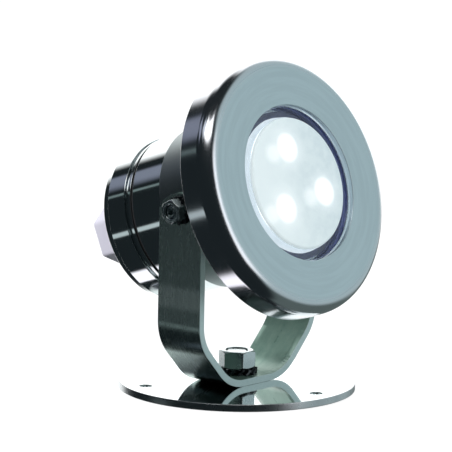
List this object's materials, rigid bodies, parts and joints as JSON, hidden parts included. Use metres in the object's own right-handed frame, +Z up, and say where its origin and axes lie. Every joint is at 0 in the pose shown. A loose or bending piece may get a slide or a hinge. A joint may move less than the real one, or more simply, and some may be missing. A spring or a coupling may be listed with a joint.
{
  "type": "underwater pond light",
  "caption": "Stainless steel underwater spotlight: round LED lamp head with a wide bezel, tilting in a U-shaped flat-bar bracket that pans on a round screw-down base plate.",
  "frame": {"origin": "centre of the base plate's fixing holes, on its underside", "axes": "+Z up, square to the base plate; the lamp faces -Y; +X along the tilt pivots"},
  "size_m": [0.096, 0.1075, 0.1232],
  "materials": {
    "polished_steel": "mirror-polished stainless steel",
    "satin_steel": "satin stainless steel with a fine straight grain",
    "bezel_steel": "stainless steel, circular-brushed face and polished edge",
    "fastener_steel": "plain stainless fastener",
    "spring_steel": "dark spring steel",
    "front_glass": "clear glass with a satin raised face",
    "lens_plastic": "clear moulded lens",
    "black_plastic": "moulded, fine texture",
    "gland_plastic": "light grey polyamide",
    "white_nylon": "natural nylon",
    "seal_rubber": "black seal rubber",
    "heat_sink_aluminium": "machined",
    "board": "white solder mask over a metal core",
    "driver_laminate": "green laminate",
    "pad_grey": "soft thermal pad",
    "post_brass": "turned brass",
    "component_black": "moulded component bodies",
    "terminal_green": "moulded terminal block",
    "led_package": "white package under a clear dome",
    "lead_insulation": "lead insulation"
  },
  "bodies": {
    "base": {"base_plate": "polished_steel", "base_stud": "fastener_steel", "bracket_lock_washer": "spring_steel", "bracket_nut": "fastener_steel"},
    "bracket": {"bracket": "satin_steel"},
    "head": {"pivot_set_screws": "fastener_steel", "pivot_spacers": "white_nylon", "pivot_lock_washers": "spring_steel", "pivot_nuts": "fastener_steel", "housing_body": "polished_steel", "housing_flange": "polished_steel", "bezel": "bezel_steel", "bezel_screws": "fastener_steel", "front_glass": "front_glass", "rear_glass_gasket": "seal_rubber", "front_glass_gasket": "seal_rubber", "heat_sink": "heat_sink_aluminium", "thermal_pad": "pad_grey", "led_board": "board", "led_board_screws": "fastener_steel", "heat_sink_screws": "fastener_steel", "led_emitters": "led_package", "triple_lens": "lens_plastic", "lens_holder": "black_plastic", "led_leads": "lead_insulation", "rear_cap": "polished_steel", "rear_cap_o_ring": "seal_rubber", "driver_board": "driver_laminate", "driver_board_posts": "post_brass", "driver_board_screws": "fastener_steel", "driver_choke": "component_black", "driver_capacitor": "component_black", "driver_rectifier": "component_black", "driver_chip": "component_black", "cable_terminal": "terminal_green", "gland_washer": "seal_rubber", "gland_body": "gland_plastic", "gland_lock_nut": "gland_plastic", "gland_claw": "gland_plastic", "gland_seal": "seal_rubber", "gland_nut": "gland_plastic"}
  },
  "joints": [
    {"name": "bracket_pan", "type": "hinge", "parent": "base", "child": "bracket", "pos_m": [0, 0, 0], "axis": [0, 0, 1], "continuous": true},
    {"name": "head_tilt", "type": "hinge", "parent": "bracket", "child": "head", "pos_m": [0, 0, 0.0698], "axis": [-1, 0, 0], "range_deg": [-27, 45]}
  ]
}
